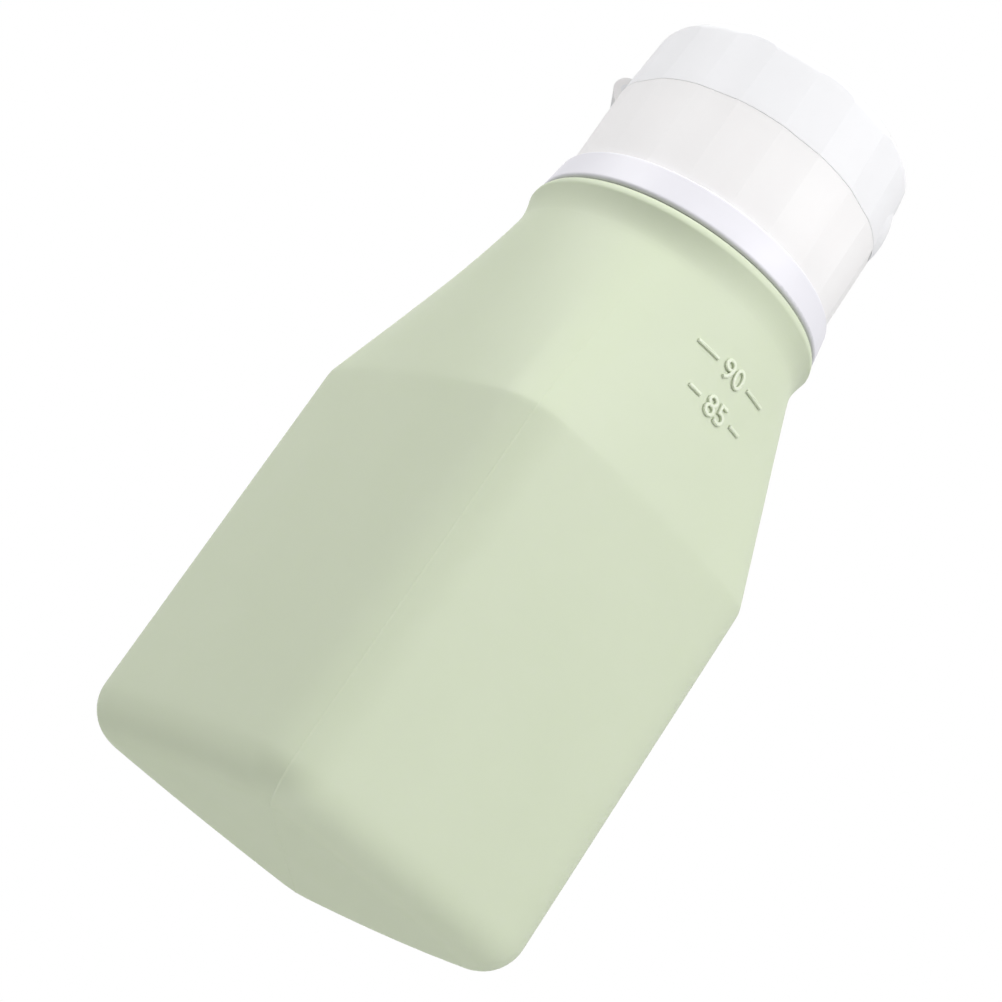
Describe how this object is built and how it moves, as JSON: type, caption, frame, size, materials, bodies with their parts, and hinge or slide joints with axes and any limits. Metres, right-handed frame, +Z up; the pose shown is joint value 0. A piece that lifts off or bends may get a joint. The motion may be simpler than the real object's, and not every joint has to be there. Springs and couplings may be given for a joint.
{
  "type": "travel squeeze bottle",
  "caption": "Soft silicone squeeze bottle with a rounded square body, tapered shoulder, white threaded collar, and a faceted screw cap with a hinged flip lid.",
  "frame": {"origin": "middle of the base, where the bottle stands", "axes": "+Z up along the bottle's axis, X across the narrower width of the body"},
  "size_m": [0.044, 0.0474, 0.1071],
  "materials": {
    "silicone_green": "matte, slightly translucent silicone",
    "white_plastic": "glossy opaque polypropylene",
    "clear_plastic": "translucent satin polypropylene",
    "liner_foam": "matte foamed polyethylene",
    "pin_plastic": "glossy polypropylene",
    "silicone_clear": "translucent silicone"
  },
  "bodies": {
    "bottle": {"squeeze_body": "silicone_green", "collar": "white_plastic"},
    "liner": {"cap_liner": "liner_foam"},
    "cap": {"screw_cap": "clear_plastic", "hinge_pin": "pin_plastic", "slit_valve": "silicone_clear", "valve_retainer": "white_plastic"},
    "lid": {"flip_lid": "clear_plastic", "lid_seal": "silicone_clear"}
  },
  "joints": [
    {"name": "cap_lift", "type": "slide", "parent": "bottle", "child": "liner", "axis": [0, 0, 1], "range_m": [0, 0.0039]},
    {"name": "cap_turn", "type": "hinge", "parent": "liner", "child": "cap", "pos_m": [0, 0, 0.09], "axis": [0, 0, 1], "range_deg": [0, 390]},
    {"name": "lid_hinge", "type": "hinge", "parent": "cap", "child": "lid", "pos_m": [-0.01298, 0.01128, 0.0977], "axis": [-0.6561, -0.7547, 0], "range_deg": [0, 140]}
  ],
  "couplings": [
    {"joint": "cap_lift", "follows": "cap_turn", "m_per_rad": 0.00057296}
  ]
}
